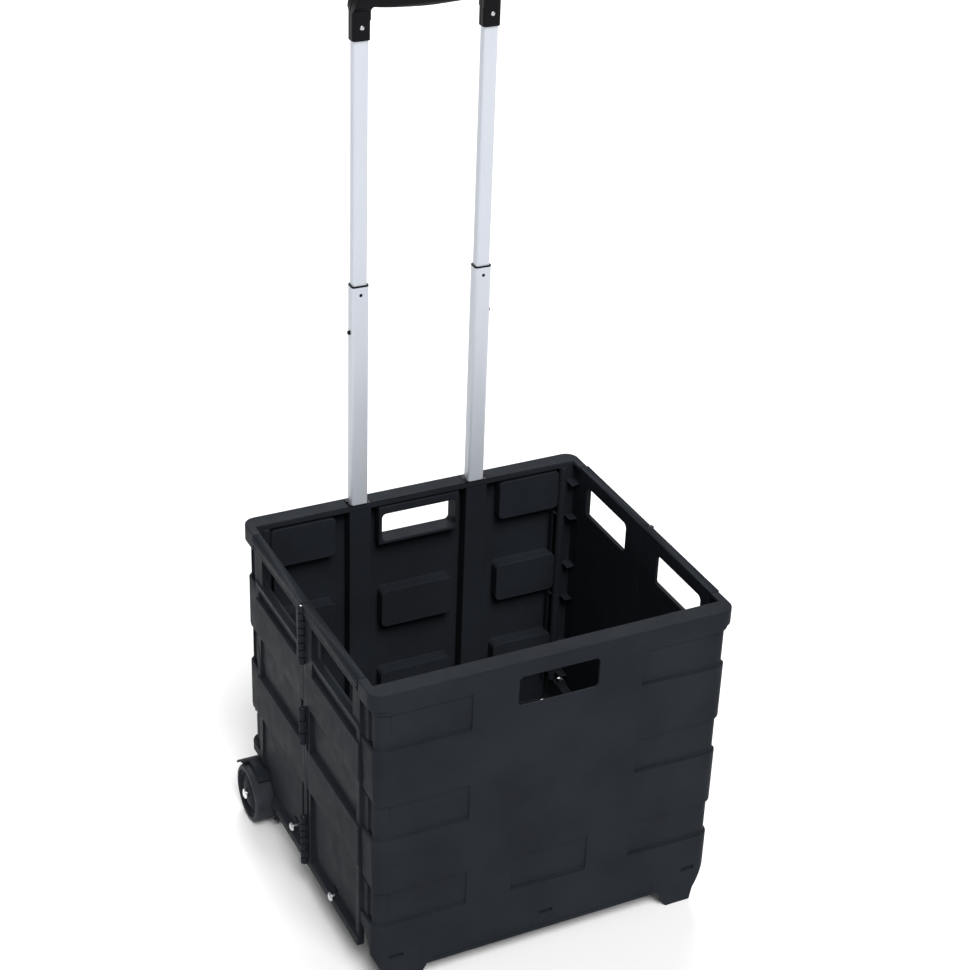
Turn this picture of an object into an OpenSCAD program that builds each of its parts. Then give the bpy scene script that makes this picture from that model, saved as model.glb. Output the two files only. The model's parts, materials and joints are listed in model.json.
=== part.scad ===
// Folding shopping trolley: a moulded crate with bifold sides on two wheels,
// with a three-stage telescopic handle. Millimetres, +Z up, +Y towards the
// back panel. The origin is on the ground, below the middle of the crate.

/* [Crate] */
// Width over the rim
crate_w = 420; // [400:1:440]
// Depth over the front and back panels
crate_d = 376; // [370:1:390]
// Height of the rim above the ground
crate_h = 390; // [386:1:396]
// Depth of the front and back rim
rim_depth = 22; // [20:0.5:23]
// Height of the rim's skirt at the corners
rim_skirt = 20; // [16:1:22]
// Length that each end panel wraps round onto the sides
wrap_len = 38; // [36:0.5:40]
// How far the corner columns stand inside the rim
column_inset = 4; // [3:0.5:5]
// Thickness of the end panels' wall
wall_t = 7; // [6:0.5:8]
// Lowest corner hinge slot above the ground
slot_z = 91; // [88:1:94]
// Height of each corner hinge slot
slot_h = 45; // [40:1:48]
// Distance from one hinge slot to the next
slot_pitch = 114.5; // [112:0.5:115]

/* [Sides] */
// Thickness of the side rail
rail_t = 10.5; // [9:0.5:11]
// Radius of the middle hinge's knuckles
knuckle_r = 4; // [3.5:0.1:4.5]
// Distance of the corner hinge axes inside the rim
axis_inset_x = 22; // [21:0.5:23]
// Distance of the corner hinge axes from the panels' outer faces
axis_inset_y = 20; // [19.5:0.5:21]
// Underside of the sides above the ground
side_z = 40; // [38:0.5:41]

/* [Floor] */
// Width of the lifting floor
floor_w = 364; // [340:1:364]
// Thickness of the lifting floor
floor_t = 8; // [7:0.5:8]
// Upper face of the floor above the ground
floor_z = 36; // [35:0.5:37]

/* [Handle] */
// Distance between the two tubes
tube_gap = 146.8; // [140:0.2:150]
// Width of the lower tube
tube_w = 20; // [19:0.5:21]
// Depth of the lower tube
tube_d = 14.4; // [13:0.2:15]
// Height of the lower tube's top above the ground
collar_z = 659; // [650:1:670]
// Height of the grip's lower ends above the ground
grip_z = 931; // [925:1:940]
// Overall height with the handle pulled out
handle_h = 988; // [980:1:1000]
// Travel of the lower tubes
lower_travel = 255; // [200:1:255]
// Travel of the upper tubes
upper_travel = 262; // [200:1:262]

/* [Wheels] */
// Wheel diameter
wheel_dia = 70; // [66:1:72]
// Wheel width
wheel_w = 27; // [24:0.5:27.5]
// Distance of the axle from the back face
axle_inset = 36; // [36:0.5:38]
// Axle radius
axle_r = 4; // [3:0.5:5]

/* [Hidden] */
$fn = 48;
eps = 0.01;
gap = 0.4;                  // air between neighbouring mouldings
fit = 0.05;                 // running fit of a hinge pin or axle
hw = crate_w / 2;
hd = crate_d / 2;
slots = [for (i = [0:2]) slot_z + i * slot_pitch];

// end panels: the modules draw the front one, at -Y, and the back one mirrors it
face_y = -hd;               // outer face
inner_y = face_y + rim_depth;
web_y = face_y + wall_t;    // inner face of the wall
wrap_y = face_y + wrap_len;
col_x = hw - column_inset;  // outer side of a corner column
skin = 4;                   // thickness of a column's skin
corner_r = 14;
plate_t = 6;                // thickness of the rim's top plate
front_z = 23;               // lower edge of the front panel
back_z = 38;                // lower edge of the back panel
column_z = 78;              // lower end of the columns, above the wheels
foot_d = 13.5;              // depth of the front feet
pocket_shallow = 1.7;
pocket_deep = 3.4;
slot_back = 2.6;            // how far a column stands back beside a slot
skin_end = 13;              // where its skin ends, behind the outer face
pocket_x = 99;              // inner end of the outer pockets
hole_w = 93;                // hand holes in the end panels
hole_z = 335;
hole_h = 36;
hole_r = 5;
pad_w = 92;                 // raised pads on the inner face
pad_x = [104, 182.5];       // ends of the outer pads
pad_h = 50;
pad_lift = 10;              // a pad starts this far above its pocket
pad_wall = 2.5;
pad_r = 6;
lobe_taper = 3;             // how much a column narrows from one slot to the next

// corner hinges
axis_x = hw - axis_inset_x;
axis_y = hd - axis_inset_y;
boss_r = 5;
pin_r = 2.5;

// sides
side_in = 200.5;            // inner face of the sides
rail_x = side_in + rail_t;  // outer face of the rail
mid_x = rail_x + 0.3;       // axis of the middle hinge
// how far the front panel moves back when the sides fold
fold_travel = 2 * (axis_y - (mid_x - axis_x));
band_t = 8.3;               // thickness at the raised bands
post_y = hd - wrap_len - gap;
seam = 0.15;                // half of the seam at the middle hinge
mid_pin_r = 1.5;
side_hole = [36, 130];      // hand hole in each side, along the depth
side_hole_z = [336, 373];
// middle hinge: [lowest z, knuckle pitch, number of knuckles]
knuckle_groups = [[41, 9.6, 7], [208, 16, 3], [314, 9.4, 8]];
knuckle_gap = 1.5;          // air between two knuckles
// stud near the lower edge of each half: distance from the middle hinge, height
rear_stud = [42, 61.5];
front_stud = [75, 50];

// floor
floor_y = inner_y + 5;      // axis of the floor's hinge
floor_back = 158;
floor_mid = floor_z - floor_t / 2;
rod_r = 1.5;
floor_bosses = [-150, -75, 0, 75, 150];
boss_w = 14;

// handle
tube_y = 176.2;
tube_x = tube_gap / 2;
tube_t = 1;
tube_r = 3.2;
upper_w = tube_w - 3.2;
upper_d = tube_d - 3.2;
upper_r = 2.6;
sleeve_z = 50;
lower_z = sleeve_z + 10 + lower_travel;  // lower end of the lower tubes
upper_z = lower_z + 8 + upper_travel;    // lower end of the upper tubes
upper_top = handle_h - 27;               // upper end of the upper tubes, inside the grip
sleeve_w = 26.8;
sleeve_d = 19.2;
rivet_z = [120, 377];       // rivets beside the sleeves
rivet_r = 2;
button_z = 604.5;
button_r = 2.4;
stop_r = 1.6;               // rivet that keeps a collar in its tube
button_out = 2.6;           // how far a button stands out of its tube
bar_d = 23.6;                 // grip bar
bar_h = 28;
leg_w = 20.4;
leg_d = 14.6;

// wheels
wheel_r = wheel_dia / 2;
wheel_y = hd - axle_inset;
wheel_x = 225;              // outer face of a wheel
wheel_in = wheel_x - wheel_w;
cheek = [189.5, 196.5];     // wheel bracket's side plate
hood_r = [wheel_r + 3.5, wheel_r + 6];
arch_r = wheel_r + 8.5;

plastic = [0.17, 0.18, 0.2];
dark = [0.08, 0.08, 0.09];
silver = [0.78, 0.79, 0.82];
steel = [0.6, 0.61, 0.63];
rubber = [0.12, 0.12, 0.13];

// ---------- helpers ----------

// Box between two corners.
module block(lo, hi) {
    translate(lo) cube(hi - lo);
}

// Rectangle with round corners, centred.
module round_rect(w, d, r) {
    square([w - 2 * r, d], center = true);
    square([w, d - 2 * r], center = true);
    for (x = [-1, 1], y = [-1, 1])
        translate([x * (w / 2 - r), y * (d / 2 - r)]) circle(r);
}

// Extrudes a 2D shape drawn as (x, z) through y0..y1.
module extrude_y(y0, y1) {
    translate([0, y1, 0]) rotate([90, 0, 0]) linear_extrude(y1 - y0) children();
}

// Extrudes a 2D shape drawn as (y, z) through x0..x1.
module extrude_x(x0, x1) {
    translate([x0, 0, 0]) rotate([90, 0, 90]) linear_extrude(x1 - x0) children();
}

// Draws its children on the left and, mirrored, on the right.
module both_sides() {
    children();
    mirror([1, 0, 0]) children();
}

// ---------- end panels ----------

// Plan of the left front corner, from the panel's middle part to the wrap's end.
module corner_plan(out_x, out_y, r, end_y, in_x = axis_x - boss_r - 2) {
    translate([-out_x, out_y + r]) square([out_x - in_x, end_y - out_y - r]);
    translate([-out_x + r, out_y]) square([out_x - in_x - r, end_y - out_y]);
    translate([-out_x + r, out_y + r]) circle(r);
}
// The inside of that plan, which leaves a skin of thickness t.
module corner_inside(out_x, out_y, r, t, end_y) {
    corner_plan(out_x - t, out_y + t, r - t, end_y + 1, axis_x - boss_r - 4);
}

// Plan of a column where it covers the hinge: skin, boss and two webs.
module column_plan(x = col_x) {
    difference() {
        corner_plan(x, face_y, corner_r, wrap_y);
        corner_inside(x, face_y, corner_r, skin, wrap_y);
    }
    translate([-axis_x, -axis_y]) circle(boss_r);
    translate([-axis_x - 2, face_y + 1]) square([4, axis_inset_y - 2]);
    translate([-x + 1, -axis_y - 2]) square([x - axis_x - 2, 4]);
    translate([-axis_x, web_y - 5]) square([12, 5]);
}

// Plan of a column beside a slot: a set-back skin that leaves the side open.
module slot_plan() {
    back = face_y + slot_back;
    edge = col_x - slot_back;
    intersection() {
        difference() {
            corner_plan(edge, back, corner_r - 2, wrap_y);
            corner_inside(edge, back, corner_r - 2, skin, wrap_y);
        }
        translate([-hw, face_y]) square([hw, skin_end]);
    }
    translate([-axis_x, back]) square([12, web_y - back]);
}

// The rim's top plate and the skirt that wraps the corner.
module rim_corner() {
    translate([0, 0, crate_h - plate_t]) linear_extrude(plate_t) difference() {
        corner_plan(hw, face_y, corner_r + 1, wrap_y);
        translate([-hw + rail_t - 0.5, inner_y]) square([hw, wrap_len]);
    }
    translate([0, 0, crate_h - rim_skirt]) linear_extrude(rim_skirt) difference() {
        corner_plan(hw, face_y, corner_r + 1, wrap_y);
        corner_inside(hw, face_y, corner_r + 1, skin + 2, wrap_y);
    }
}

// Outline, seen from the front, of a column's outer side between two slots.
module lobe_outline(low, high) {
    extrude_y(face_y - 1, wrap_y + 1) polygon([
        [-col_x + lobe_taper, low], [-col_x + lobe_taper * 0.4, low + 6],
        [-col_x, high - 14], [-col_x, high - 4], [-col_x + 1.2, high],
        [-axis_x + 20, high], [-axis_x + 20, low]
    ]);
}
// Left corner of an end panel: rim, column and hinge bosses.
module panel_corner() {
    rim_corner();
    difference() {
        union() {
            translate([0, 0, column_z]) linear_extrude(slots[0] - column_z) column_plan();
            for (i = [0:1]) intersection() {
                translate([0, 0, slots[i] + slot_h])
                    linear_extrude(slot_pitch - slot_h) column_plan();
                lobe_outline(slots[i] + slot_h, slots[i + 1]);
            }
            translate([0, 0, slots[2] + slot_h])
                linear_extrude(crate_h - plate_t - slots[2] - slot_h) column_plan();
            for (z = slots) {
                translate([0, 0, z - eps]) linear_extrude(slot_h + 2 * eps) slot_plan();
                // plates that close the column above and below the slot
                for (end = [z - 2, z + slot_h]) translate([0, 0, end]) linear_extrude(2)
                    corner_plan(col_x - lobe_taper - 0.7, face_y + 1, corner_r - 3, wrap_y,
                                side_in - 4);
            }
        }
        translate([-axis_x, -axis_y, column_z - 1])
            cylinder(r = pin_r, h = crate_h - plate_t - column_z - 1);
    }
}

// Cuts a pocket into the outer face: shallow above, then sloping in to a ledge.
module face_pocket(x0, x1, z) {
    extrude_x(x0, x1) polygon([
        [face_y - 1, z], [face_y + pocket_deep, z],
        [face_y + pocket_shallow, z + slot_h * 0.5],
        [face_y + pocket_shallow, z + slot_h], [face_y - 1, z + slot_h]
    ]);
}

// Raised pad on the inner face, hollow and open below.
module inner_pad(x, z, w) {
    difference() {
        extrude_y(web_y - 1, inner_y)
            translate([x, z + pad_h / 2]) round_rect(w, pad_h, pad_r);
        extrude_y(web_y + 1, inner_y - pad_wall)
            translate([x, z + pad_h / 2 - pad_wall])
                round_rect(w - 2 * pad_wall, pad_h, pad_r - pad_wall);
    }
}

// Tunnel of the hand hole.
module hole_tunnel() {
    block([-hole_w / 2 - 4, web_y - 1, hole_z - 4],
          [hole_w / 2 + 4, inner_y, crate_h - plate_t - 3]);
}

module hole_cut() {
    extrude_y(face_y - 1, inner_y + 1)
        translate([0, hole_z + hole_h / 2]) round_rect(hole_w, hole_h, hole_r);
}

// The parts that the front and back panels share, drawn as the front panel.
module end_panel(bottom) {
    side_pad_w = pad_x[1] - pad_x[0];
    difference() {
        union() {
            block([-axis_x, face_y, bottom], [axis_x, web_y, crate_h - plate_t + eps]);
            block([-axis_x, face_y, crate_h - plate_t], [axis_x, inner_y, crate_h]);
            both_sides() panel_corner();
            for (z = slots) {
                both_sides() inner_pad(-pad_x[0] - side_pad_w / 2, z + pad_lift, side_pad_w);
                if (z < slots[2]) inner_pad(0, z + pad_lift, pad_w);
            }
        }
        for (z = slots) both_sides() face_pocket(-axis_x - 8, -pocket_x, z);
        face_pocket(-pad_w / 2, pad_w / 2, slots[0]);
    }
}

// Front feet. Folded, the front panel clears the wheels, so the corner is cut
// round the place that the mudguard then takes.
module front_foot() {
    intersection() {
        extrude_y(face_y, wrap_y) polygon([
            [-142, front_z + 1], [-153, 6], [-156, 0], [-187, 0], [-190, 16],
            [-col_x, column_z - 28], [-col_x, column_z], [-142, column_z]
        ]);
        linear_extrude(column_z) union() {
            corner_plan(col_x, face_y, corner_r, wrap_y);
            translate([-axis_x, face_y]) square([60, foot_d]);
        }
        extrude_x(-hw, -140) difference() {
            translate([face_y, 0]) square([wrap_len, column_z]);
            translate([wheel_y - fold_travel, wheel_r]) {
                circle(arch_r - 1);
                translate([0, -wheel_r - 1]) square([wrap_len, wheel_r + arch_r]);
            }
            translate([face_y + foot_d, -1]) square([wrap_len, column_z - 18]);
        }
        union() {
            block([-hw, face_y, 0], [-axis_x + boss_r, wrap_y, column_z]);
            block([-hw, face_y, 0], [-140, inner_y, column_z]);
        }
    }
}
// Bosses on the front panel that carry the floor's rod.
module floor_boss(x) {
    difference() {
        extrude_x(x - boss_w / 2, x + boss_w / 2) {
            translate([floor_y, floor_mid]) circle(floor_t / 2);
            translate([web_y - 1, floor_z - floor_t])
                square([floor_y - web_y + 1, floor_t]);
        }
        extrude_x(x - boss_w, x + boss_w) translate([floor_y, floor_mid]) circle(rod_r);
    }
}

module front_panel() {
    color(plastic) difference() {
        union() {
            end_panel(front_z);
            both_sides() front_foot();
            for (x = floor_bosses) floor_boss(x);
            // lower shelf, which closes the gap in front of the floor
            block([-col_x + 26, web_y - 1, floor_mid - 2],
                  [col_x - 26, floor_y - floor_t / 2 - gap, floor_mid + 2]);
        }
        hole_cut();
        // thinner wall round the hand hole
        block([-hole_w / 2 - 6, face_y + 3.5, hole_z - 6],
              [hole_w / 2 + 6, web_y + 1, crate_h - plate_t - 1]);
        // set-back strip above the lower lip
        block([-136, face_y - 1, front_z + 5], [136, face_y + 0.9, front_z + 13]);
        // small moulding slots
        for (x = [-180, 0, 180])
            block([x - 8, face_y - 1, slot_z - 47], [x + 8, face_y + 4, slot_z - 42]);
    }
}

module back_panel() {
    color(plastic) difference() {
        union() {
            mirror([0, 1, 0]) {
                end_panel(back_z);
                hole_tunnel();
            }
            // inner skin of the columns beside the lowest slot
            both_sides() block([-wheel_in + 1, hd - skin_end, slots[0] - 2],
                               [-wheel_in + 4, hd - 5, slots[0] + slot_h]);
            // shelf above the floor's rear edge
            block([-axis_x + 8, floor_back + 0.6, back_z],
                  [axis_x - 8, hd - wall_t + 1, back_z + 4]);
        }
        mirror([0, 1, 0]) hole_cut();
        // the columns stand back beside the lowest slot
        both_sides() block([-hw, hd - wrap_len - 1, slots[0]],
                           [-wheel_in + 1, hd + 1, slots[0] + slot_h - 2]);
        // channels for the sleeves
        both_sides() translate([-tube_x - sleeve_w / 2, tube_y - sleeve_d / 2, sleeve_z])
            cube([sleeve_w, sleeve_d, crate_h]);
        both_sides() for (z = rivet_z) rivet_at(z) cylinder(r = rivet_r, h = 20, center = true);
    }
}
// ---------- handle channel ----------

// Plan of the groove that lets a button through.
module button_groove() {
    translate([-tube_w / 2 - button_out - 0.1, -button_r - 0.5])
        square([button_out + 2, 2 * button_r + 1]);
}

module sleeve() {
    color(plastic) translate([-tube_x, tube_y, sleeve_z]) difference() {
        translate([-sleeve_w / 2, -sleeve_d / 2, 0])
            cube([sleeve_w, sleeve_d, crate_h - plate_t - sleeve_z]);
        translate([0, 0, 4]) linear_extrude(crate_h) {
            round_rect(tube_w + 0.4, tube_d + 0.4, tube_r);
            button_groove();
        }
    }
}

// Guide bush in the rim.
module bush() {
    color(dark) translate([-tube_x, tube_y, crate_h - plate_t]) difference() {
        translate([-sleeve_w / 2, -sleeve_d / 2, 0]) cube([sleeve_w, sleeve_d, plate_t]);
        translate([0, 0, -1]) linear_extrude(plate_t + 2) {
            round_rect(tube_w + 0.4, tube_d + 0.4, tube_r);
            button_groove();
        }
    }
}

// Axis of a rivet through the back panel, beside a sleeve.
module rivet_at(z) {
    translate([-tube_x + sleeve_w / 2 + 4, hd - 3, z]) rotate([90, 0, 0]) children();
}

module sleeve_rivets() {
    color(silver) both_sides() for (z = rivet_z) rivet_at(z) {
        translate([0, 0, -3]) cylinder(r = rivet_r, h = 7);
        translate([0, 0, 4]) cylinder(r1 = rivet_r + 1.4, r2 = rivet_r, h = 1.2);
    }
}

// ---------- wheels ----------

// Part of a ring round the axle, from one angle to another, seen from the side.
module ring_part(r0, r1, a0, a1) {
    steps = 6;
    reach = r1 * 1.3;
    intersection() {
        difference() { circle(r1); circle(r0); }
        polygon(concat([[0, 0]],
            [for (i = [0:steps]) let (a = a0 + (a1 - a0) * i / steps) reach * [cos(a), sin(a)]]));
    }
}

// Side plate, mudguard and the ledge under the floor.
module bracket() {
    color(plastic) difference() {
        union() {
            extrude_x(-cheek[1], -cheek[0]) {
                translate([wheel_y, wheel_r]) intersection() {
                    circle(arch_r - 2);
                    translate([-arch_r, 4 - wheel_r]) square([2 * arch_r, wheel_r + arch_r]);
                    translate([-arch_r, -arch_r]) square([arch_r + hd - wheel_y - 0.5, 2 * arch_r]);
                }
                translate([wheel_y, wheel_r - 14])
                    square([hd - wheel_y - 0.5, column_z - wheel_r + 8]);
                translate([hd - 26, column_z - 10]) square([25.5, 10]);
            }
            extrude_x(-wheel_x - 1, -cheek[0])
                translate([wheel_y, wheel_r]) ring_part(hood_r[0], hood_r[1], 42, 76);
            extrude_x(-wheel_x + 7, -cheek[0])
                translate([wheel_y, wheel_r]) ring_part(hood_r[0], hood_r[1], 75, 128);
            extrude_x(-side_in - 3, -cheek[0])
                translate([wheel_y, wheel_r]) ring_part(hood_r[0], arch_r - 2, 74, 212);
            extrude_x(-cheek[0] - 1, -cheek[0] + 11.5)
                translate([wheel_y - 25, floor_z - floor_t - 5.1]) square([55, 4.9]);
        }
        extrude_x(-wheel_x, 0) translate([wheel_y, wheel_r]) circle(axle_r);
    }
}

module axle() {
    color(steel) extrude_x(-wheel_x - 1.5, -cheek[0] + 2) translate([wheel_y, wheel_r]) circle(axle_r);
    color(steel) extrude_x(-cheek[0], -cheek[0] + 2.5) translate([wheel_y, wheel_r]) circle(axle_r + 2);
}

module axle_cap() {
    color(silver) translate([-wheel_x - 1.5, wheel_y, wheel_r]) rotate([0, -90, 0]) rotate_extrude()
        polygon([[0, 0], [6.2, 0], [6.2, 0.7], [5.2, 1.7], [3.2, 2.4], [0, 2.6]]);
}

// Wheel shapes are turned round the X axis; the profile is (radius, distance out).
module turned() {
    translate([-wheel_in, wheel_y, wheel_r]) rotate([0, -90, 0]) rotate_extrude() children();
}

module hub() {
    rim = wheel_r - 6;
    color(plastic) turned() difference() {
        polygon([
            [axle_r + fit, 0.5], [10, 0.5], [10, 4], [rim - 3, 4], [rim - 3, 1.5], [rim, 1.5],
            [rim, wheel_w - 2], [rim - 3, wheel_w - 2], [rim - 5, wheel_w - 5],
            [rim - 9, wheel_w - 4], [rim - 14, wheel_w - 1.5], [9, wheel_w - 0.3],
            [axle_r + fit, wheel_w - 0.3]
        ]);
        translate([rim + 0.5, wheel_w / 2]) circle(1.6);
    }
}

module tyre() {
    rim = wheel_r - 6;
    color(rubber) turned() {
        intersection() {
            translate([rim, 0.5]) square([6, wheel_w - 0.5]);
            union() {
                translate([rim - 1, 4]) square([7, wheel_w - 8]);
                for (x = [4.5, wheel_w - 4]) translate([wheel_r - 4, x]) circle(4);
                translate([rim - 1, 0.5]) square([3, wheel_w - 0.5]);
            }
        }
        translate([rim + 0.5, wheel_w / 2]) circle(1.6);
    }
}

// ---------- sides ----------

// Section of a side as [height, thickness]: rail, rib, hand hole, raised bands.
side_section = [
    [crate_h, 0], [crate_h, rail_t], [crate_h - 10.5, rail_t], [crate_h - 10.5, 4.5],
    [side_hole_z[1] + 3.5, 4.5], [side_hole_z[1] + 3.5, 9], [side_hole_z[1], 9],
    [side_hole_z[1], 3.5], [side_hole_z[0], 3.5], [side_hole_z[0] - 3.5, band_t],
    [side_hole_z[0] - 6, band_t], [312, 3],
    [309, band_t], [262, band_t], [262, 4.4], [229, 4.4], [206, 2.5],
    [203, band_t], [150, band_t], [150, 4.4], [96, 4.4], [54, 2.5],
    [51, band_t], [side_z, band_t], [side_z, 0]
];

// Knuckles of one half: the even or the odd ones of each group.
module mid_knuckles(parity, r, swell) {
    for (g = knuckle_groups) for (i = [0:g[2] - 1]) if (i % 2 == parity)
        translate([-mid_x, 0, g[0] + i * g[1] + knuckle_gap / 2 - swell])
            cylinder(r = r, h = g[1] - knuckle_gap + 2 * swell);
}

// Gussets that join the knuckles to their half.
module mid_gussets(parity) {
    for (g = knuckle_groups) for (i = [0:g[2] - 1]) if (i % 2 == parity)
        block([-mid_x, seam, g[0] + i * g[1] + knuckle_gap / 2],
              [-side_in - 2, knuckle_r, g[0] + (i + 1) * g[1] - knuckle_gap / 2]);
}

// Arm that reaches from a half into a corner slot, and its barrel.
module corner_arm(z) {
    h = slot_h - 2 * gap;
    bar = hd - skin_end - gap;
    translate([0, 0, z + gap]) {
        block([-side_in - 3, post_y - 2, 0], [-side_in, post_y + 14, h]);
        block([-side_in - 0.5, post_y + 13, 0], [-side_in + 4, bar, h]);
        block([-side_in - 1, bar - 6, 5], [-side_in + 5, bar, h - 5]);
        block([-side_in + 1, axis_y - 4, 0], [-axis_x, axis_y + 4, h]);
        translate([-axis_x, axis_y, 0]) cylinder(r = boss_r, h = h);
    }
}

// Left half, drawn as the rear one: parity picks its knuckles, pin_fit its bores.
module side_half(parity, pin_fit, stud) {
    color(plastic) difference() {
        union() {
            extrude_y(seam, post_y)
                polygon([for (p = side_section) [-side_in - p[1], p[0]]]);
            // posts at both ends and a rib beside the hinge
            for (y = [[seam, 4.5, band_t], [10, 14, band_t], [post_y - 9, post_y, 6.6]])
                block([-side_in - y[2], y[0], side_z], [-side_in, y[1], side_hole_z[0] - 6]);
            block([-side_in - band_t, seam, 300], [-side_in, 22, crate_h - 5]);
            block([-side_in - 6.6, side_hole[1], side_hole_z[0] - 6], [-side_in, post_y, crate_h - 5]);
            mid_gussets(parity);
            mid_knuckles(parity, knuckle_r, 0);
            for (z = slots) corner_arm(z);
        }
        // hand hole
        extrude_x(-hw, -side_in + 1)
            translate([(side_hole[0] + side_hole[1]) / 2, (side_hole_z[0] + side_hole_z[1]) / 2])
                round_rect(side_hole[1] - side_hole[0], side_hole_z[1] - side_hole_z[0], 6);
        // seat of the stud and a slot above it
        translate([-hw, stud[0], stud[1]]) rotate([0, 90, 0]) cylinder(r = 3, h = hw - side_in - 1);
        block([-hw, stud[0] - 6, stud[1] + 7.5], [-side_in - 1.5, stud[0] + 6, stud[1] + 11.5]);
        // room for the other half's knuckles, and the bores
        mid_knuckles(1 - parity, knuckle_r + gap, gap);
        translate([-mid_x, 0, side_z]) cylinder(r = mid_pin_r + pin_fit, h = crate_h);
        translate([-axis_x, axis_y, 0]) cylinder(r = pin_r + fit, h = crate_h);
        children();
    }
}

// Cut-out of a rear half over its wheel.
module wheel_arch() {
    extrude_x(-hw - 5, -side_in + 1) {
        translate([wheel_y, wheel_r]) circle(arch_r);
        translate([wheel_y, 0]) square([arch_r, wheel_r + 30]);
    }
}

module rear_side() { side_half(0, 0, rear_stud) wheel_arch(); }
module front_side() { mirror([0, 1, 0]) side_half(1, fit, front_stud); }

// Domed stud in a side's seat.
module stud(y, z) {
    color(silver) translate([-side_in, y, z]) rotate([0, -90, 0]) rotate_extrude()
        polygon([
            [0, 1], [3, 1], [3, band_t + 0.1], [5.2, band_t + 0.1], [5.2, band_t + 1],
            [4, band_t + 2.6], [2, band_t + 3.4], [0, band_t + 3.6]
        ]);
}

module middle_pins() {
    color(steel) for (g = knuckle_groups)
        translate([-mid_x, 0, g[0] + 1]) cylinder(r = mid_pin_r, h = g[1] * g[2] - 2);
}

// Pin of the corner hinges, from the lowest boss to the rim.
module corner_pin(y, bottom) {
    color(steel) translate([-axis_x, y, bottom]) cylinder(r = pin_r, h = crate_h - plate_t - 2 - bottom);
}

// ---------- floor ----------

module floor_rod() {
    color(steel) extrude_x(floor_bosses[0] - boss_w / 2, floor_bosses[4] + boss_w / 2)
        translate([floor_y, floor_mid]) circle(rod_r);
}

module floor_panel() {
    w = floor_w / 2;
    low = floor_z - floor_t;
    cols = 9;
    rows = 7;
    border = 7;
    cell = [(floor_w - 2 * border) / cols, (floor_back - floor_y - 12) / rows];
    color(plastic) difference() {
        union() {
            block([-w, floor_y, low], [w, floor_back, floor_z]);
            extrude_x(-w, w) translate([floor_y, floor_mid]) circle(floor_t / 2);
        }
        // cells between the ribs of the underside
        for (i = [0:cols - 1], j = [0:rows - 1])
            translate([-w + border + i * cell[0] + 1.5, floor_y + 10 + j * cell[1], low - 1])
                cube([cell[0] - 3, cell[1] - 3, floor_t - 2]);
        // notches for the hinge bosses, and the rod's bore
        for (x = floor_bosses)
            extrude_x(x - boss_w / 2 - gap, x + boss_w / 2 + gap)
                translate([floor_y - floor_t, low - 1])
                    square([1.5 * floor_t + gap, floor_t + 2]);
        extrude_x(-w - 1, w + 1) translate([floor_y, floor_mid]) circle(rod_r + fit);
        // finger hole for lifting it
        translate([0, floor_back - 24, low - 1]) linear_extrude(floor_t + 2)
            round_rect(76, 24, 8);
    }
}

// ---------- telescopic handle ----------

module tube_section(w, d, r) {
    difference() {
        round_rect(w, d, r);
        round_rect(w - 2 * tube_t, d - 2 * tube_t, r - tube_t);
    }
}

module lower_tube() {
    color(silver) difference() {
        translate([-tube_x, tube_y, lower_z]) linear_extrude(collar_z - lower_z)
            tube_section(tube_w, tube_d, tube_r);
        translate([-tube_x - tube_w / 2 - 1, tube_y, button_z]) rotate([0, 90, 0])
            cylinder(r = button_r + 0.1, h = 3);
        translate([-tube_x, tube_y - tube_d / 2 - 1, collar_z - 9]) rotate([-90, 0, 0])
            cylinder(r = stop_r, h = 3);
    }
}

// Plastic foot inside the end of a lower tube.
module lower_glide() {
    color(dark) translate([-tube_x, tube_y, lower_z - 4]) {
        linear_extrude(4) tube_section(tube_w, tube_d, tube_r);
        linear_extrude(8) tube_section(tube_w - 2 * tube_t, tube_d - 2 * tube_t, tube_r - tube_t);
    }
}

module collar() {
    color(dark) translate([-tube_x, tube_y, collar_z]) {
        linear_extrude(1.8) difference() {
            round_rect(tube_w + 0.2, tube_d + 0.2, tube_r + 0.1);
            round_rect(upper_w + 0.2, upper_d + 0.2, upper_r + 0.1);
        }
        translate([0, 0, -22]) linear_extrude(22) difference() {
            round_rect(tube_w - 2 * tube_t, tube_d - 2 * tube_t, tube_r - tube_t);
            round_rect(upper_w + 0.2, upper_d + 0.2, upper_r + 0.1);
        }
    }
}

// Rivet that keeps the collar in its tube.
module stop_rivet() {
    color(dark) translate([-tube_x, tube_y - tube_d / 2, collar_z - 9]) rotate([90, 0, 0]) {
        translate([0, 0, -tube_t]) cylinder(r = stop_r, h = tube_t + 0.1);
        cylinder(r1 = stop_r + 0.4, r2 = stop_r, h = 0.4);
    }
}

module upper_tube() {
    color(silver) translate([-tube_x, tube_y, upper_z]) linear_extrude(upper_top - upper_z)
        tube_section(upper_w, upper_d, upper_r);
}

module upper_glides() {
    color(dark) both_sides() translate([-tube_x, tube_y, upper_z]) {
        translate([0, 0, -3]) linear_extrude(3) difference() {
            round_rect(upper_w + 0.8, upper_d + 0.8, upper_r);
            round_rect(upper_w - 4, upper_d - 4, 1);
        }
        translate([0, 0, -3]) linear_extrude(14) difference() {
            round_rect(upper_w - 2 * tube_t, upper_d - 2 * tube_t, upper_r - tube_t);
            round_rect(upper_w - 4, upper_d - 4, 1);
        }
    }
}

module button() {
    color(dark) translate([-tube_x - tube_w / 2 - button_out, tube_y, button_z]) rotate([0, 90, 0]) {
        cylinder(r1 = button_r - 0.6, r2 = button_r, h = 0.6);
        translate([0, 0, 0.6]) cylinder(r = button_r, h = button_out + tube_t - 1);
    }
}

// ---------- grip ----------

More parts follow.
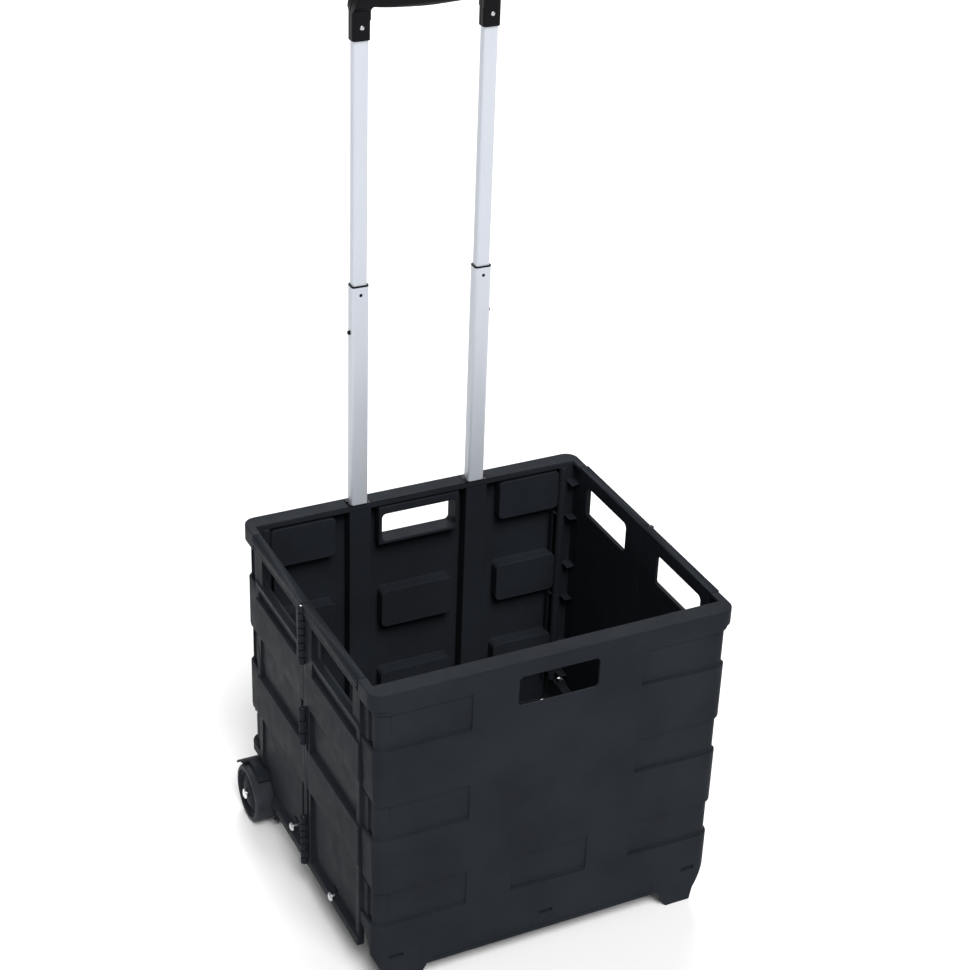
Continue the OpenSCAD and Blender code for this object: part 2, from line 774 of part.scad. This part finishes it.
// Outline of the grip seen from the front: legs, bar and a bulging underside.
module grip_outline() {
    outer = tube_x + leg_w / 2;
    inner = tube_x - leg_w / 2;
    under = handle_h - bar_h + 1;
    rise = under + 7;
    bulge = 380;
    fillet = 5;
    difference() {
        union() {
            translate([-outer, grip_z]) square([2 * outer, handle_h - 30 - grip_z]);
            translate([-outer + 30, grip_z]) square([2 * outer - 60, handle_h - grip_z]);
            for (x = [-outer + 30, outer - 30]) translate([x, handle_h - 30]) circle(30);
        }
        difference() {
            union() {
                translate([-inner, grip_z - 1]) square([2 * inner, rise - grip_z + 1 - fillet]);
                translate([-inner + fillet, grip_z - 1])
                    square([2 * (inner - fillet), rise - grip_z + 1]);
                for (x = [-inner + fillet, inner - fillet])
                    translate([x, rise - fillet]) circle(fillet);
            }
            // the underside bulges down in the middle
            translate([0, under + bulge]) circle(bulge, $fn = 360);
        }
    }
}

module grip_body() {
    difference() {
        union() {
            intersection() {
                extrude_y(-bar_d / 2, bar_d / 2) grip_outline();
                extrude_x(-tube_x - leg_w, tube_x + leg_w)
                    translate([0, handle_h - bar_h / 2]) round_rect(bar_d, bar_h, 11);
            }
            intersection() {
                extrude_y(-leg_d / 2, leg_d / 2) grip_outline();
                union() {
                    both_sides() translate([-tube_x, 0, grip_z]) linear_extrude(handle_h - grip_z)
                        round_rect(leg_w, leg_d, 3.5);
                    block([-tube_x, -leg_d, handle_h - bar_h - 8], [tube_x, leg_d, handle_h - 10]);
                }
            }
        }
        // sockets for the tubes
        both_sides() translate([-tube_x, 0, grip_z - 1])
            linear_extrude(upper_top - grip_z + 1) round_rect(upper_w, upper_d, upper_r);
        // screw holes
        both_sides() translate([-tube_x, 0, grip_z + 14]) rotate([90, 0, 0])
            cylinder(r = 1.6, h = bar_d, center = true);
    }
}

module grip_front() {
    color(dark) translate([0, tube_y, 0]) intersection() {
        grip_body();
        block([-hw, -bar_d, grip_z - 2], [hw, 0, handle_h + 1]);
    }
}

module grip_back() {
    color(dark) translate([0, tube_y, 0]) intersection() {
        grip_body();
        block([-hw, 0, grip_z - 2], [hw, bar_d, handle_h + 1]);
    }
}

module grip_screws() {
    color(silver) both_sides() translate([-tube_x, tube_y, grip_z + 14]) rotate([90, 0, 0]) {
        translate([0, 0, upper_d / 2]) cylinder(r = 1.6, h = leg_d / 2 - upper_d / 2 + 0.1);
        translate([0, 0, leg_d / 2]) rotate_extrude()
            polygon([[0, 0], [2.5, 0], [2.3, 0.7], [1.4, 1.2], [0, 1.4]]);
    }
}

// ---------- nodes ----------

module on_right() { mirror([1, 0, 0]) children(); }

back_panel();
sleeve();  // left_sleeve
on_right() sleeve();  // right_sleeve
bush();  // left_bush
on_right() bush();  // right_bush
bracket();  // left_bracket
on_right() bracket();  // right_bracket
axle();  // left_axle
on_right() axle();  // right_axle
axle_cap();  // left_axle_cap
on_right() axle_cap();  // right_axle_cap
both_sides() corner_pin(axis_y, column_z + 1);  // rear_hinge_pins
sleeve_rivets();
hub();  // left_hub
tyre();  // left_tyre
on_right() hub();  // right_hub
on_right() tyre();  // right_tyre
rear_side();  // left_rear_side
front_side();  // left_front_side
stud(rear_stud[0], rear_stud[1]);  // left_rear_stud
stud(-front_stud[0], front_stud[1]);  // left_front_stud
on_right() stud(rear_stud[0], rear_stud[1]);  // right_rear_stud
on_right() stud(-front_stud[0], front_stud[1]);  // right_front_stud
on_right() rear_side();  // right_rear_side
on_right() front_side();  // right_front_side
middle_pins();  // left_middle_pins
on_right() middle_pins();  // right_middle_pins
front_panel();
both_sides() corner_pin(-axis_y, column_z + 1);  // front_hinge_pins
floor_rod();
floor_panel();
lower_tube();  // left_lower_tube
on_right() lower_tube();  // right_lower_tube
lower_glide();  // left_lower_glide
on_right() lower_glide();  // right_lower_glide
collar();  // left_collar
on_right() collar();  // right_collar
stop_rivet();  // left_stop_rivet
on_right() stop_rivet();  // right_stop_rivet
upper_tube();  // left_upper_tube
on_right() upper_tube();  // right_upper_tube
upper_glides();
grip_front();
grip_back();
grip_screws();
button();  // left_button
on_right() button();  // right_button
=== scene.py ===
"""Looks of the folding shopping trolley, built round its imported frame. Metres, +Z up."""
import json
import math

import bmesh
import bpy
from mathutils import Matrix, Vector
from mathutils.bvhtree import BVHTree

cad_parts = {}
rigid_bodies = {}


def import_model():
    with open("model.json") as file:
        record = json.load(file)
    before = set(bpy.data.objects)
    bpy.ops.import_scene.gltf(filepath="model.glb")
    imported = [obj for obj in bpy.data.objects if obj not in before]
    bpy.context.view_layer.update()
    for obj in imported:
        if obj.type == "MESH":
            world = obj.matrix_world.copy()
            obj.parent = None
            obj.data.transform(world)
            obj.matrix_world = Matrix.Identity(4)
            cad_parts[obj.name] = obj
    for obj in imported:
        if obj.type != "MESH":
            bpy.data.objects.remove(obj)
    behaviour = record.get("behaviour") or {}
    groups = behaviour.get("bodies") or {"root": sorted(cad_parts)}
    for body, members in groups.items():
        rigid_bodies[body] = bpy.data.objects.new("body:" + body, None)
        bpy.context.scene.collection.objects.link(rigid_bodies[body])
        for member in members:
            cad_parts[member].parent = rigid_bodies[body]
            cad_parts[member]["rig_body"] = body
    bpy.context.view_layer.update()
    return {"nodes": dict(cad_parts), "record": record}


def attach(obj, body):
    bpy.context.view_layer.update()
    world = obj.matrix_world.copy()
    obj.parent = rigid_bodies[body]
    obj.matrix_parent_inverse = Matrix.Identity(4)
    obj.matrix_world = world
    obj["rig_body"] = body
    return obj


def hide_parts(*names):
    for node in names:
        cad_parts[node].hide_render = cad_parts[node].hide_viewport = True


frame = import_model()

MM = 0.001
nodes = frame["nodes"]
slot_of = {s["node"]: s["material_slot"] for s in frame["record"]["subparts"]}

# Edge roundings in mm: single nodes, then nodes that there are a left and a right one of.
ROUNDING = {
    "front_panel": 1.1, "back_panel": 1.1, "floor_panel": 0.8,
    "grip_screws": 0.2, "sleeve_rivets": 0.3,
}
ROUNDING_EACH_SIDE = {
    "rear_side": 0.9, "front_side": 0.9, "rear_stud": 0.3, "front_stud": 0.3,
    "sleeve": 1.5, "bush": 0.5, "bracket": 0.8, "hub": 0.7, "tyre": 0.5, "axle_cap": 0.2,
    "lower_tube": 0.15, "upper_tube": 0.15, "collar": 0.4, "stop_rivet": 0.2, "button": 0.3,
}
for side in ("left", "right"):
    for part, radius in ROUNDING_EACH_SIDE.items():
        ROUNDING[f"{side}_{part}"] = radius

WELD_DISTANCE = 0.004 * MM
FLAT_ANGLE = math.radians(0.6)    # faces that meet at less than this become one
SHARP_ANGLE = math.radians(28)    # edges that turn by more than this are rounded
STRAIGHT_ON = 0.8                 # cosine above which a next edge carries on along a first
ROOM_BY_SHARP = 2.2               # room that a rounding needs along a sharp edge, in widths
ROOM_BY_SOFT = 1.15               # the same along an edge that isn't rounded
ROUNDING_FACES = 2                # faces across one rounding
MOST_AWAY = 0.45                  # how far a point may leave the solid, in widths
NORMAL_WEIGHT = 100

GRIP = ("grip_front", "grip_back")
GRIP_VOXEL = 0.6 * MM
GRIP_EASING_ROUNDS = 8
GRIP_TRIANGLES = 24000


# ---------- materials ----------
def new_material(name):
    """A material with only a Principled shader; returns it, its tree and the shader."""
    material = bpy.data.materials.new(name)
    material.use_nodes = True
    tree = material.node_tree
    tree.nodes.clear()
    output = tree.nodes.new("ShaderNodeOutputMaterial")
    shader = tree.nodes.new("ShaderNodeBsdfPrincipled")
    tree.links.new(shader.outputs["BSDF"], output.inputs["Surface"])
    return material, tree, shader


def object_noise(tree, scale, detail, stretch=(1, 1, 1)):
    """Noise in the part's own coordinates, so that it moves with its piece."""
    place = tree.nodes.new("ShaderNodeTexCoord")
    mapping = tree.nodes.new("ShaderNodeMapping")
    mapping.inputs["Scale"].default_value = stretch
    noise = tree.nodes.new("ShaderNodeTexNoise")
    noise.inputs["Scale"].default_value = scale
    noise.inputs["Detail"].default_value = detail
    tree.links.new(place.outputs["Object"], mapping.inputs["Vector"])
    tree.links.new(mapping.outputs["Vector"], noise.inputs["Vector"])
    return noise.outputs["Fac"]


def ramp(tree, value, given, wanted):
    """Maps a value from the given range, a pair, to the wanted one."""
    node = tree.nodes.new("ShaderNodeMapRange")
    node.inputs["From Min"].default_value = given[0]
    node.inputs["From Max"].default_value = given[1]
    node.inputs["To Min"].default_value = wanted[0]
    node.inputs["To Max"].default_value = wanted[1]
    tree.links.new(value, node.inputs["Value"])
    return node.outputs["Result"]


def mottled(tree, shader, colour, second, value):
    """Base colour that drifts between two close tones."""
    mix = tree.nodes.new("ShaderNodeMix")
    mix.data_type = "RGBA"
    mix.inputs["A"].default_value = (*colour, 1)
    mix.inputs["B"].default_value = (*second, 1)
    tree.links.new(value, mix.inputs["Factor"])
    tree.links.new(mix.outputs["Result"], shader.inputs["Base Color"])


def roughened(tree, shader, value, given, smoothest, roughest):
    """Roughness that drifts between two values."""
    tree.links.new(ramp(tree, value, given, (smoothest, roughest)), shader.inputs["Roughness"])


def bumped(tree, shader, height, distance, strength):
    """Relief in the surface's shading, `distance` metres deep."""
    bump = tree.nodes.new("ShaderNodeBump")
    bump.inputs["Distance"].default_value = distance
    bump.inputs["Strength"].default_value = strength
    tree.links.new(height, bump.inputs["Height"])
    tree.links.new(bump.outputs["Normal"], shader.inputs["Normal"])


def moulded_plastic(name, colour, second, rough, grain, grain_depth, shine):
    """Injection-moulded polypropylene: fine spark-eroded grain and soft mottling."""
    material, tree, shader = new_material(name)
    cloud = object_noise(tree, scale=14, detail=4)
    fine = object_noise(tree, scale=grain, detail=2)
    mottled(tree, shader, colour, second, ramp(tree, cloud, (0.35, 0.68), (0, 1)))
    uneven = object_noise(tree, scale=55, detail=5)
    roughened(tree, shader, uneven, (0.3, 0.7), rough - 0.05, rough + 0.07)
    bumped(tree, shader, fine, grain_depth, strength=0.5)
    shader.inputs["Specular IOR Level"].default_value = shine
    return material


def anodised_aluminium(name):
    """Drawn tube: satin, with faint lines along its length."""
    material, tree, shader = new_material(name)
    cloud = object_noise(tree, scale=9, detail=3)
    lines = object_noise(tree, scale=700, detail=2, stretch=(1, 1, 0.012))
    mottled(tree, shader, (0.50, 0.53, 0.59), (0.56, 0.59, 0.64), cloud)
    roughened(tree, shader, lines, (0.3, 0.7), 0.34, 0.46)
    bumped(tree, shader, lines, 0.02 * MM, strength=0.35)
    shader.inputs["Metallic"].default_value = 0.2
    return material


def plated_steel(name, colour, rough):
    """Bright plating, a little uneven in tone and gloss."""
    material, tree, shader = new_material(name)
    cloud = object_noise(tree, scale=60, detail=4)
    mottled(tree, shader, colour, tuple(c * 0.86 for c in colour), cloud)
    roughened(tree, shader, cloud, (0.3, 0.7), rough, rough + 0.12)
    shader.inputs["Metallic"].default_value = 1.0
    return material


def tyre_rubber(name):
    """Hard rubber with a dusty, uneven sheen."""
    material, tree, shader = new_material(name)
    cloud = object_noise(tree, scale=40, detail=5)
    fine = object_noise(tree, scale=1400, detail=2)
    mottled(tree, shader, (0.02, 0.022, 0.028), (0.034, 0.037, 0.045),
            ramp(tree, cloud, (0.4, 0.7), (0, 1)))
    roughened(tree, shader, cloud, (0.3, 0.7), 0.5, 0.66)
    bumped(tree, shader, fine, 0.08 * MM, strength=0.5)
    shader.inputs["Specular IOR Level"].default_value = 0.12
    return material


materials = {
    "crate_plastic": moulded_plastic(
        "crate_plastic", (0.014, 0.016, 0.020), (0.018, 0.021, 0.026), rough=0.42,
        grain=900, grain_depth=0.06 * MM, shine=0.015),
    "black_plastic": moulded_plastic(
        "black_plastic", (0.003, 0.003, 0.004), (0.005, 0.005, 0.006), rough=0.34,
        grain=1500, grain_depth=0.03 * MM, shine=0.08),
    "tube_aluminium": anodised_aluminium("tube_aluminium"),
    "steel": plated_steel("steel", (0.55, 0.56, 0.58), rough=0.28),
    "chrome_cap": plated_steel("chrome_cap", (0.8, 0.81, 0.83), rough=0.12),
    "tyre_rubber": tyre_rubber("tyre_rubber"),
}


# ---------- pieces from the frame ----------
def give_material(obj, slot):
    obj.data.materials.clear()
    obj.data.materials.append(materials[slot])


def show_for(node, data):
    """Shows a mesh in place of a CAD node, on the same body."""
    piece = bpy.data.objects.new(node + "_shape", data)
    bpy.context.scene.collection.objects.link(piece)
    give_material(piece, slot_of[node])
    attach(piece, nodes[node]["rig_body"])
    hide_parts(node)
    return piece


def has_room(edge, sharp, width):
    """Whether the edges beside an edge are long enough for its rounding."""
    along = (edge.verts[1].co - edge.verts[0].co).normalized()
    for vert in edge.verts:
        for other in vert.link_edges:
            if other is edge:
                continue
            other_way = (other.verts[1].co - other.verts[0].co).normalized()
            carries_on = abs(along.dot(other_way)) > STRAIGHT_ON
            need = width * (ROOM_BY_SHARP if other in sharp else ROOM_BY_SOFT)
            if not carries_on and other.calc_length() < need:
                return False
    return True


def edges_to_round(mesh, width):
    """The sharp edges whose neighbours leave room for the rounding."""
    sharp = {edge for edge in mesh.edges
             if len(edge.link_faces) == 2 and edge.calc_face_angle(0) > SHARP_ANGLE}
    return [edge for edge in sharp if has_room(edge, sharp, width)]


def pull_in_spikes(mesh, surface, width, low, high):
    """Puts back corner points that the rounding threw off the solid or out of its box."""
    for vert in mesh.verts:
        place, _, _, away = surface.find_nearest(vert.co)
        if away > MOST_AWAY * width:
            vert.co = place
        vert.co = [min(max(c, lo), hi) for c, lo, hi in zip(vert.co, low, high)]


def drop_imported_normals(data):
    """The frame's own corner normals don't fit a mesh that has been rounded."""
    for name in ("custom_normal", "sharp_edge", "sharp_face"):
        if name in data.attributes:
            data.attributes.remove(data.attributes[name])


def softened(node, width):
    """A copy of a CAD node with its moulded edges rounded, shown in its place."""
    mesh = bmesh.new()
    mesh.from_mesh(nodes[node].data)
    bmesh.ops.remove_doubles(mesh, verts=mesh.verts, dist=WELD_DISTANCE)
    bmesh.ops.dissolve_limit(mesh, angle_limit=FLAT_ANGLE, verts=mesh.verts,
                             edges=mesh.edges, use_dissolve_boundaries=False)
    large = [face for face in mesh.faces if len(face.verts) > 4]
    bmesh.ops.triangulate(mesh, faces=large, quad_method="BEAUTY", ngon_method="BEAUTY")
    edges = edges_to_round(mesh, width)
    if edges:
        surface = BVHTree.FromBMesh(mesh)
        low = [min(vert.co[axis] for vert in mesh.verts) for axis in range(3)]
        high = [max(vert.co[axis] for vert in mesh.verts) for axis in range(3)]
        bmesh.ops.bevel(mesh, geom=edges, offset=width, offset_type="OFFSET",
                        segments=ROUNDING_FACES, profile=0.5, affect="EDGES",
                        clamp_overlap=False, miter_outer="SHARP", miter_inner="SHARP")
        pull_in_spikes(mesh, surface, width, low, high)
    for face in mesh.faces:
        face.smooth = True
    data = bpy.data.meshes.new(node + "_shape")
    mesh.to_mesh(data)
    mesh.free()
    drop_imported_normals(data)
    weighted = show_for(node, data).modifiers.new("shading", "WEIGHTED_NORMAL")
    weighted.keep_sharp = True
    weighted.weight = NORMAL_WEIGHT


def remoulded(node):
    """A copy of a grip shell remeshed and eased all over, shown in its place."""
    work = bpy.data.objects.new(node + "_work", nodes[node].data.copy())
    bpy.context.scene.collection.objects.link(work)
    drop_imported_normals(work.data)
    remesh = work.modifiers.new("remesh", "REMESH")
    remesh.mode = "VOXEL"
    remesh.voxel_size = GRIP_VOXEL
    ease = work.modifiers.new("ease", "SMOOTH")
    ease.factor = 0.5
    ease.iterations = GRIP_EASING_ROUNDS
    thin = work.modifiers.new("thin", "DECIMATE")
    thin.ratio = 1.0    # everything is kept while the faces are counted
    depsgraph = bpy.context.evaluated_depsgraph_get()
    quads = len(work.evaluated_get(depsgraph).data.polygons)
    thin.ratio = min(1.0, GRIP_TRIANGLES / (2 * quads))
    depsgraph = bpy.context.evaluated_depsgraph_get()
    data = bpy.data.meshes.new_from_object(work.evaluated_get(depsgraph))
    bpy.data.objects.remove(work)
    data.name = node + "_shape"
    for face in data.polygons:
        face.use_smooth = True
    show_for(node, data)


for name, obj in nodes.items():
    if name in GRIP:
        remoulded(name)
    elif name in ROUNDING:
        softened(name, ROUNDING[name] * MM)
    else:
        give_material(obj, slot_of[name])


# ---------- studio ----------
def make_floor():
    side = 30.0
    mesh = bpy.data.meshes.new("studio_floor")
    mesh.from_pydata([(-side, -side, 0), (side, -side, 0), (side, side, 0), (-side, side, 0)],
                     [], [(0, 1, 2, 3)])
    floor = bpy.data.objects.new("studio_floor", mesh)
    bpy.context.scene.collection.objects.link(floor)
    material, _, shader = new_material("studio_floor")
    shader.inputs["Base Color"].default_value = (0.9, 0.9, 0.9, 1)
    shader.inputs["Roughness"].default_value = 0.9
    floor.data.materials.append(material)


def make_sun(name, towards, strength, spread=30):
    """A distant soft light that seems `spread` degrees wide; the floor stays evenly lit."""
    light = bpy.data.lights.new(name, "SUN")
    light.energy = strength
    light.angle = math.radians(spread)
    obj = bpy.data.objects.new(name, light)
    obj.rotation_euler = (-Vector(towards)).to_track_quat("-Z", "Y").to_euler()
    bpy.context.scene.collection.objects.link(obj)


def make_camera():
    """Three-quarter view from the front left, looking down, slightly rolled."""
    place = (-0.8734, -1.7278, 1.5869)
    yaw, pitch, roll = math.radians(26.81), math.radians(29.58), math.radians(-2.19)
    ahead = Vector((math.sin(yaw) * math.cos(pitch), math.cos(yaw) * math.cos(pitch),
                    -math.sin(pitch)))
    right = Vector((math.cos(yaw), -math.sin(yaw), 0))
    down = ahead.cross(right)
    across = math.cos(roll) * right + math.sin(roll) * down
    upward = math.sin(roll) * right - math.cos(roll) * down
    data = bpy.data.cameras.new("camera")
    data.sensor_width = 36.0
    data.lens = 77.4
    camera = bpy.data.objects.new("camera", data)
    turn = Matrix((across, upward, -ahead)).transposed()
    camera.matrix_world = Matrix.Translation(place) @ turn.to_4x4()
    bpy.context.scene.collection.objects.link(camera)
    bpy.context.scene.camera = camera


def make_world():
    """Even white light from all round, under the two suns."""
    world = bpy.data.worlds.new("studio")
    world.use_nodes = True
    background = world.node_tree.nodes["Background"]
    background.inputs["Color"].default_value = (1, 1, 1, 1)
    background.inputs["Strength"].default_value = 0.32
    bpy.context.scene.world = world


make_floor()
make_world()
make_sun("key", (-0.05, -0.64, 0.86), strength=3.2)
make_sun("rim", (0.30, 0.80, 0.80), strength=1.9)
make_camera()
bpy.context.scene.view_settings.view_transform = "Standard"
